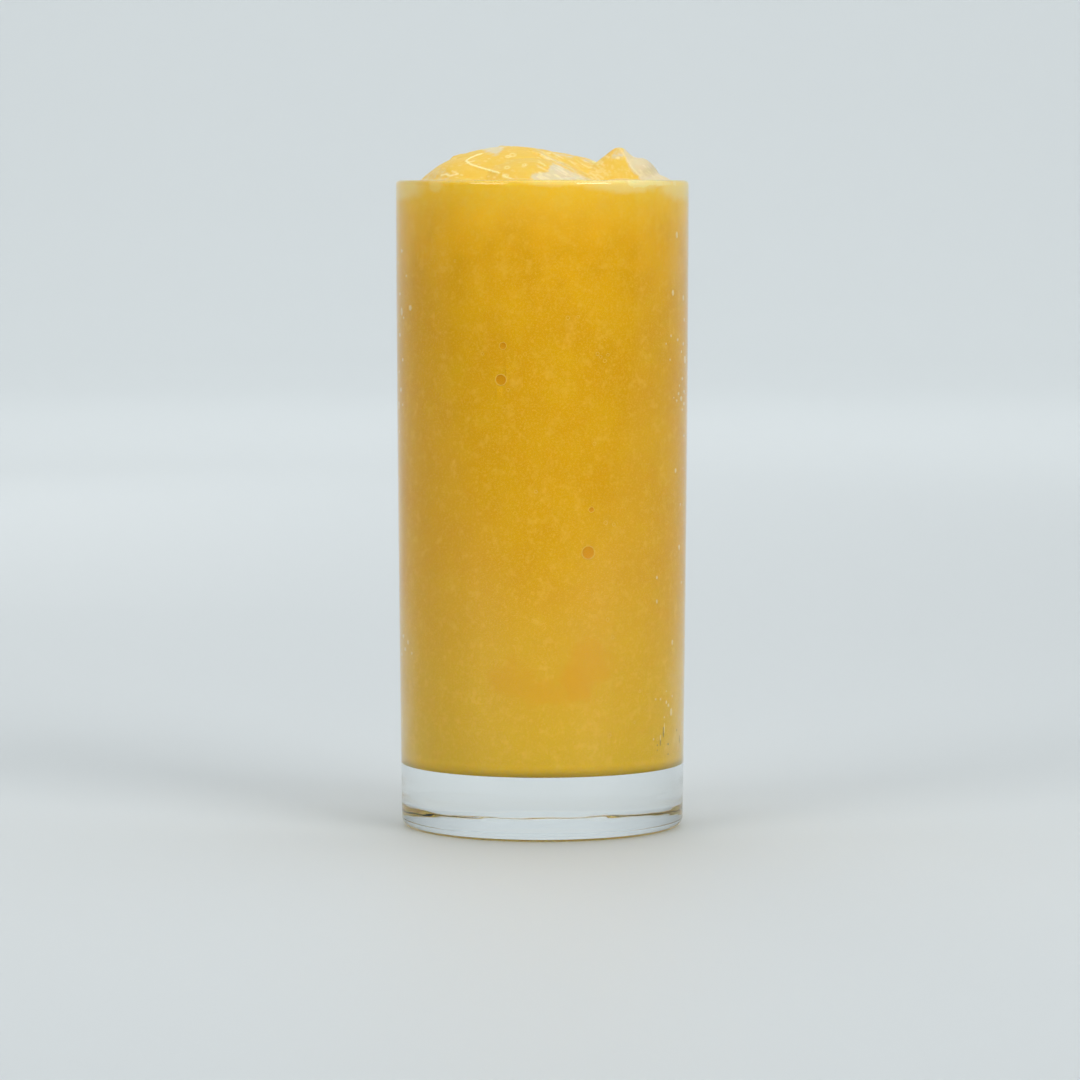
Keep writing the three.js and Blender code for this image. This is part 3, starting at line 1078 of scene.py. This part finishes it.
def glint_and_thread_spots(tree, rng):
    """Places along the painted highlights and the threads and dashes of froth, and how strong the paint is
    there.
    """
    lines = list(GLINTS_AND_THREADS.values())
    for (x, y), radius in BUBBLES:
        corners = [math.tau * i / BUBBLE_CORNERS for i in range(BUBBLE_CORNERS + 1)]
        ring = [(x + radius * math.cos(turn), y + BUBBLE_FLATNESS * radius * math.sin(turn))
                for turn in corners]
        lines.append((ring, BUBBLE_STRENGTH))
    for (left, top, right, bottom), count, lengths, slope, strengths in DASHES.values():
        for _ in range(count):
            start = Vector((rng.uniform(left, right), rng.uniform(top, bottom)))
            angle = math.radians(slope + rng.uniform(-DASH_TURN, DASH_TURN))
            end = start + Vector((math.cos(angle), math.sin(angle))) * rng.uniform(*lengths)
            lines.append(((start, end), rng.uniform(*strengths)))
    spots = []
    for line, strength in lines:
        for step in steps_along(line, THREAD_STEP_PX):
            place, _ = heap_spot(tree, step.x, step.y)
            if place and place.z > THREADS_LOWEST:
                spots.append((place, strength * rng.uniform(*UNEVENNESS)))
    for _ in range(BACK_DASHES):
        turn, reach = rng.uniform(0, math.pi), rng.uniform(*BACK_DASH_REACH) * MM
        start = Vector((reach * math.cos(turn), reach * math.sin(turn)))
        along = Vector((math.cos(turn + BACK_DASH_TURN), math.sin(turn + BACK_DASH_TURN)))
        end = start + along * rng.uniform(*BACK_DASH_LENGTHS) * MM
        strength = rng.uniform(*BACK_DASH_STRENGTHS)
        for step in steps_along((start, end), THREAD_STEP_BACK):
            spots.append((top_spot(tree, step.x, step.y)[0], strength))
    return spots


def paint_froth_and_glints(piece, rng):
    """Marks on the heap's skin how creamy it is, and raises and marks the threads of froth and of painted
    highlight.
    """
    tree = surface_tree(piece)
    spots = glint_and_thread_spots(tree, rng)
    threads = KDTree(len(spots))
    for i, (place, _) in enumerate(spots):
        threads.insert(place, i)
    threads.balance()
    heap = [vertex for vertex in piece.data.vertices if vertex.co.z > RIM_HEIGHT - PAINT_DEPTH]
    cream = [0.0] * len(piece.data.vertices)
    froth = [0.0] * len(piece.data.vertices)
    eye = Vector((0, -CAMERA_DISTANCE, CAMERA_HEIGHT))
    hidden = []
    creamy = []
    for vertex in heap:
        near = threads.find_range(vertex.co, THREAD_WIDTH)
        shares = [spots[i][1] * (1 - (gap / THREAD_WIDTH) ** 2) for _, i, gap in near]
        froth[vertex.index] = max(shares, default=0)
        seen = tree.ray_cast(eye, (vertex.co - eye).normalized())[0]
        if seen and (seen - vertex.co).length < SEEN_WITHIN:
            cream[vertex.index] = creaminess(vertex.co)
            if cream[vertex.index] > CREAM_SPREADS_FROM:
                creamy.append(vertex)
        else:
            hidden.append(vertex)
    seen_cream = KDTree(len(creamy))
    for vertex in creamy:
        seen_cream.insert(vertex.co, vertex.index)
    seen_cream.balance()
    for vertex in hidden:
        _, index, gap = seen_cream.find(vertex.co)
        cream[vertex.index] = cream[index] * max(0, 1 - gap / CREAM_FADE)
    raised = [(vertex, vertex.normal * froth[vertex.index] * THREAD_RISE) for vertex in heap]
    for vertex, rise in raised:
        vertex.co += rise
    for name, values in (("cream", cream), ("froth", froth)):
        piece.data.attributes.new(name, "FLOAT", "POINT").data.foreach_set("value", values)


def extrude_wall_down(sizes, drink, piece):
    """Cuts the heap level inside the rim and extrudes the drink's wall, corner and floor from the cut."""
    cut = RIM_HEIGHT - drink.cut_below_rim
    floor = sizes.base_thickness - drink.overlap
    corner = sizes.floor_corner
    corner_height = floor + corner

    def radius_at(z):
        return inner_radius(sizes, max(z, corner_height)) + drink.overlap

    make_active(piece)
    bpy.ops.object.mode_set(mode="EDIT")
    bpy.ops.mesh.select_mode(type="VERT")
    bpy.ops.mesh.select_all(action="SELECT")
    bpy.ops.mesh.bisect(plane_co=(0, 0, cut), plane_no=(0, 0, 1), clear_inner=True)
    bpy.ops.mesh.select_all(action="DESELECT")
    bpy.ops.mesh.select_non_manifold(extend=False)
    bpy.ops.object.mode_set(mode="OBJECT")
    for vertex in piece.data.vertices:
        if vertex.select:
            flat = Vector((vertex.co.x, vertex.co.y, 0))
            vertex.co = flat.normalized() * radius_at(cut) + Vector((0, 0, cut))
    rings = [
        *wall(radius_at, cut, corner_height),
        *arc(radius_at(corner_height) - corner, corner_height, corner, 0, -90),
    ]
    rings += [Vector((rings[-1].x * share, floor)) for share in FLOOR_RINGS]
    bpy.ops.object.mode_set(mode="EDIT")
    here = Vector((radius_at(cut), cut))
    for ring in rings:
        bpy.ops.mesh.extrude_region_move(TRANSFORM_OT_translate={"value": (0, 0, ring.y - here.y)})
        scale = ring.x / here.x
        bpy.ops.transform.resize(value=(scale, scale, 1), center_override=(0, 0, ring.y))
        here = ring
    bpy.ops.mesh.merge(type="CENTER")
    bpy.ops.mesh.select_all(action="SELECT")
    bpy.ops.mesh.normals_make_consistent(inside=False)
    bpy.ops.object.mode_set(mode="OBJECT")


class SMOOTHIE_OT_drink(bpy.types.Operator):
    """Melts the heap's lobes together and extrudes the drink down to the floor of the glass"""
    bl_idname = "smoothie.drink"
    bl_label = "Drink"

    def execute(self, context):
        scene = context.scene
        sizes, drink, look = scene.smoothie_tumbler, scene.smoothie_drink, scene.smoothie_look
        rng = random.Random(DRINK_SEED)
        parts = [add_plug(sizes, drink), add_peak(), *add_skirt(rng)]
        parts += [add_lobe(*lobe) for lobe in LOBES.values()]
        piece = join_pieces("mango_smoothie", parts)
        melt(piece, drink.voxel, MELT_ROUNDS)
        piece = join_pieces("mango_smoothie", [piece, *add_rolls(surface_tree(piece))])
        melt(piece, drink.fine_voxel, FINE_MELT_ROUNDS)
        slush(piece, drink.lump_size, drink.lump_rise)
        extrude_wall_down(sizes, drink, piece)
        cut_pits(piece, sizes, drink.overlap, rng)
        paint_froth_and_glints(piece, rng)
        set_smooth(piece)
        patches = {name: [(wall_spot(sizes, *pixel)[0], half_sizes, strength)
                          for pixel, half_sizes, strength in group.values()]
                   for name, group in (("rim", RIM_PATCHES), ("deep", DEEP_PATCHES))}
        # The wall's top colours: brighter copies of the heap's, painted light from the rim
        lit_wall_top = (look.under_rim_lit, look.under_rim_lit_pale, look.under_rim_lit_cream)
        give_material(piece, drink_material(look, "mango at the wall", patches, lit_wall_top, WALL_FINISH))
        heap_top = (look.heap, look.heap_pale, look.cream)
        piece.data.materials.append(drink_material(look, "mango heap", patches, heap_top, HEAP_FINISH))
        # The pits' insides get a darker colour, painted shade
        piece.data.materials.append(shaded_pit_material(look))
        inside, near = HEAP_FINISH_BELOW
        for face in piece.data.polygons:
            reach = math.hypot(face.center.x, face.center.y)
            height = face.center.z
            if height > RIM_HEIGHT - (inside if reach < RIM_RADIUS - NEAR_THE_WALL else near):
                face.material_index = 1
            elif in_a_pit(sizes, drink.overlap, reach, height):
                face.material_index = 2
        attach(piece, BODY)
        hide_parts("smoothie")
        return {"FINISHED"}


def in_a_pit(sizes, out, reach, height):
    above_floor, below_rim = PIT_BAND
    along_the_wall = sizes.base_thickness + above_floor < height < RIM_HEIGHT - below_rim
    return along_the_wall and reach < inner_radius(sizes, height) + out - PIT_EDGE


def cut_pits(piece, sizes, out, rng):
    """Cuts round, shallow air pits into the drink's wall."""
    spots = [(*wall_spot(sizes, *pixel, out), diameter / 2 * MM) for pixel, diameter in PITS]
    for _ in range(HIDDEN_PITS):
        place, normal = hidden_wall_spot(sizes, rng)
        spots.append((place + normal * out, normal, rng.choice(HIDDEN_PIT_RADII) * MM))
    cutters = []
    for place, normal, radius in spots:
        deselect_all()
        bpy.ops.mesh.primitive_uv_sphere_add(
            segments=28, ring_count=14, radius=radius, location=place, rotation=facing(normal),
            scale=(1, 1, PIT_DEPTH / radius))
        cutters.append(bpy.context.object)
    cutter = join_pieces("pit_cutter", cutters)
    apply_modifier(piece, "BOOLEAN", operation="DIFFERENCE", solver="MANIFOLD", object=cutter)
    bpy.data.objects.remove(cutter)


def hidden_wall_spot(sizes, rng):
    """A place on the drink's wall, all round but for the side that the photograph shows."""
    turn = rng.uniform(*HIDDEN_TURNS) - math.pi / 2
    normal = Vector((math.cos(turn), math.sin(turn), 0))
    above_floor, below_rim = HIDDEN_BAND
    z = rng.uniform(sizes.base_thickness + above_floor, RIM_HEIGHT - below_rim)
    return normal * inner_radius(sizes, z) + Vector((0, 0, z)), normal


def facing(normal):
    """The turn that brings +Z to a normal, with +Y as far up as it can be."""
    return normal.to_track_quat("Z", "Y").to_euler()


def add_blob(place, normal, size, rng):
    """An uneven, flattened fleck that lies on a surface."""
    deselect_all()
    bpy.ops.mesh.primitive_ico_sphere_add(subdivisions=3, radius=0.5)
    bpy.ops.object.mode_set(mode="EDIT")
    bpy.ops.transform.vertex_random(offset=0.09, seed=rng.randrange(1000))
    bpy.ops.mesh.vertices_smooth(factor=0.5, repeat=2)
    bpy.ops.object.mode_set(mode="OBJECT")
    blob = bpy.context.object
    blob.scale = Vector(size) * MM
    blob.rotation_euler = facing(normal)
    blob.location = place
    return blob


def add_ring(place, normal, radius, width):
    deselect_all()
    bpy.ops.mesh.primitive_torus_add(
        major_segments=28, minor_segments=8, major_radius=radius, minor_radius=width,
        location=place, rotation=facing(normal))
    return bpy.context.object


def fleck_material(name, colour, patchy):
    """Flecks, specks or rims in one colour with patches of another."""
    material, tree = start_material(name)
    place = put(tree, "ShaderNodeTexCoord").outputs["Object"]
    patches = maths(tree, "MULTIPLY", pattern(tree, place, "froth patches"), PATCH_SHARE)
    skin = put(tree, "ShaderNodeBsdfPrincipled", {
        "Base Color": blend(tree, patches, colour, patchy),
        "Normal": relief(tree, place, *FROTH_RELIEF),
        "Roughness": FROTH_ROUGHNESS,
        "IOR": DRINK_IOR,
    })
    put(tree, "ShaderNodeOutputMaterial", {"Surface": skin.outputs[0]})
    return material


def finish_flecks(name, pieces, material):
    """Joins flecks, specks or rings into one piece that rides with the drink."""
    piece = join_pieces(name, pieces)
    bpy.ops.object.mode_set(mode="EDIT")
    bpy.ops.mesh.select_all(action="SELECT")
    bpy.ops.mesh.normals_make_consistent(inside=False)
    bpy.ops.object.mode_set(mode="OBJECT")
    bpy.ops.object.shade_smooth()
    give_material(piece, material)
    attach(piece, BODY)


class SMOOTHIE_OT_wall_froth(bpy.types.Operator):
    """Lays flecks of froth between the drink and the glass, with pale specks low on the right that are
    painted highlights of tiny air pockets
    """
    bl_idname = "smoothie.wall_froth"
    bl_label = "Wall froth"

    def execute(self, context):
        scene = context.scene
        sizes, look, out = scene.smoothie_tumbler, scene.smoothie_look, scene.smoothie_drink.overlap
        rng = random.Random(FROTH_SEED)
        spots = [(*wall_spot(sizes, *pixel, out), size) for pixel, size in FLECKS]
        for _ in range(HIDDEN_FLECKS):
            width = rng.uniform(*HIDDEN_FLECK_WIDTHS)
            place, normal = hidden_wall_spot(sizes, rng)
            height = width * rng.uniform(*HIDDEN_FLECK_HEIGHTS)
            spots.append((place + normal * out, normal, (width, height)))
        blobs = [add_blob(place, normal, (*size, FLECK_THICKNESS), rng) for place, normal, size in spots]
        material = fleck_material("froth and glints at the wall", look.wall_froth, look.heap_pale)
        finish_flecks("wall_froth", blobs, material)
        return {"FINISHED"}


class SMOOTHIE_OT_shade_specks(bpy.types.Operator):
    """Lays dark specks between the drink and the glass, painted shade of tiny air pockets and a groove"""
    bl_idname = "smoothie.pulp_specks"
    bl_label = "Shade specks"

    def execute(self, context):
        scene = context.scene
        sizes, look, out = scene.smoothie_tumbler, scene.smoothie_look, scene.smoothie_drink.overlap
        rng = random.Random(SPECK_SEED)
        blobs = [add_blob(*wall_spot(sizes, *pixel, out), (*size, FLECK_THICKNESS), rng)
                 for pixel, size in SPECKS]
        material = fleck_material("painted shade in air pockets", look.speck, look.mango_deepest)
        finish_flecks("pulp_specks", blobs, material)
        return {"FINISHED"}


class SMOOTHIE_OT_pit_rims(bpy.types.Operator):
    """Rings each larger air pit with a thin pale rim"""
    bl_idname = "smoothie.pit_rims"
    bl_label = "Pit rims"

    def execute(self, context):
        scene = context.scene
        sizes, look, out = scene.smoothie_tumbler, scene.smoothie_look, scene.smoothie_drink.overlap
        rings = []
        for pixel, diameter in PITS + RINGS:
            place, normal = wall_spot(sizes, *pixel, out)
            radius = diameter / 2 * MM
            rings.append(add_ring(place, normal, radius + RIM_RING, RIM_RING + RIM_RING_SHARE * radius))
        material = fleck_material("pale rims round the pits", look.pit_rim, look.heap_pale)
        finish_flecks("pit_rims", rings, material)
        return {"FINISHED"}


def add_softbox(name, setting):
    place, target, size, energy, spread = setting
    light = bpy.data.lights.new(name, "AREA")
    light.shape = "RECTANGLE"
    light.size, light.size_y = size
    light.energy = energy
    light.spread = math.radians(spread)
    softbox = bpy.data.objects.new(name, light)
    bpy.context.scene.collection.objects.link(softbox)
    softbox.location = place
    softbox.visible_transmission = False
    softbox.visible_glossy = name not in UNMIRRORED
    softbox.rotation_euler = (Vector(target) - Vector(place)).to_track_quat("-Z", "Y").to_euler()
    return softbox


class SMOOTHIE_OT_stage(bpy.types.Operator):
    """Lays the pale floor and sets up the soft lights and the camera"""
    bl_idname = "smoothie.stage"
    bl_label = "Stage"

    def execute(self, context):
        scene = context.scene
        stage = scene.smoothie_stage
        cove = stage.cove_radius
        outline = [
            Vector((0, -FLOOR_DROP)),
            *arc(stage.floor_radius, cove, cove, -90, 0),
            Vector((stage.floor_radius + cove, 3 * cove)),
        ]
        floor = turn_outline("studio_floor", outline, FLOOR_STEPS)
        set_smooth(floor)
        material, tree = start_material("pale studio floor")
        place = put(tree, "ShaderNodeTexCoord").outputs["Object"]
        front = remap(tree, put(tree, "ShaderNodeSeparateXYZ", {0: place}).outputs["Y"], *FLOOR_DARKENS)
        colour = blend(tree, front, stage.floor_colour, stage.front_colour)
        paint = put(tree, "ShaderNodeBsdfPrincipled", {"Base Color": colour, "Roughness": FLOOR_ROUGHNESS})
        put(tree, "ShaderNodeOutputMaterial", {"Surface": paint.outputs[0]})
        give_material(floor, material)

        for softbox in SOFTBOXES.items():
            add_softbox(*softbox)

        world = bpy.data.worlds.new("soft sky")
        world.use_nodes = True
        world.node_tree.nodes["Background"].inputs["Color"].default_value = SKY_COLOUR
        world.node_tree.nodes["Background"].inputs["Strength"].default_value = stage.sky
        scene.world = world
        scene.view_settings.view_transform = "Standard"

        camera = bpy.data.cameras.new("camera")
        camera.sensor_width = SENSOR_WIDTH * 1000
        camera.lens = FOCAL_PX / PHOTO_PX * camera.sensor_width
        eye = bpy.data.objects.new("camera", camera)
        scene.collection.objects.link(eye)
        shift = (AXIS_PX - PHOTO_PX / 2) / FOCAL_PX * CAMERA_DISTANCE
        eye.location = (-shift, -CAMERA_DISTANCE, CAMERA_HEIGHT)
        eye.rotation_euler = (math.pi / 2 - CAMERA_PITCH, 0, 0)
        scene.camera = eye
        return {"FINISHED"}


class SMOOTHIE_PT_panel(bpy.types.Panel):
    """Lists a button for each of the smoothie's pieces"""
    bl_idname = "SMOOTHIE_PT_panel"
    bl_label = "Mango smoothie"
    bl_space_type = "VIEW_3D"
    bl_region_type = "UI"
    bl_category = "Smoothie"

    def draw(self, context):
        for operator in OPERATORS:
            self.layout.operator(operator.bl_idname)


OPERATORS = (
    SMOOTHIE_OT_tumbler,
    SMOOTHIE_OT_drink,
    SMOOTHIE_OT_wall_froth,
    SMOOTHIE_OT_shade_specks,
    SMOOTHIE_OT_pit_rims,
    SMOOTHIE_OT_stage,
)
SETTINGS = {
    "smoothie_tumbler": SmoothieTumbler,
    "smoothie_look": SmoothieLook,
    "smoothie_drink": SmoothieDrink,
    "smoothie_stage": SmoothieStage,
}


def register():
    for group in SETTINGS.values():
        bpy.utils.register_class(group)
    for name, group in SETTINGS.items():
        setattr(bpy.types.Scene, name, bpy.props.PointerProperty(type=group))
    for operator in OPERATORS:
        bpy.utils.register_class(operator)
    bpy.utils.register_class(SMOOTHIE_PT_panel)


def unregister():
    bpy.utils.unregister_class(SMOOTHIE_PT_panel)
    for operator in reversed(OPERATORS):
        bpy.utils.unregister_class(operator)
    for name in SETTINGS:
        delattr(bpy.types.Scene, name)
    for group in reversed(SETTINGS.values()):
        bpy.utils.unregister_class(group)


def main():
    register()
    bpy.ops.smoothie.tumbler()
    bpy.ops.smoothie.drink()
    bpy.ops.smoothie.wall_froth()
    bpy.ops.smoothie.pulp_specks()
    bpy.ops.smoothie.pit_rims()
    bpy.ops.smoothie.stage()
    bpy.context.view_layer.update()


if __name__ == "__main__":
    main()
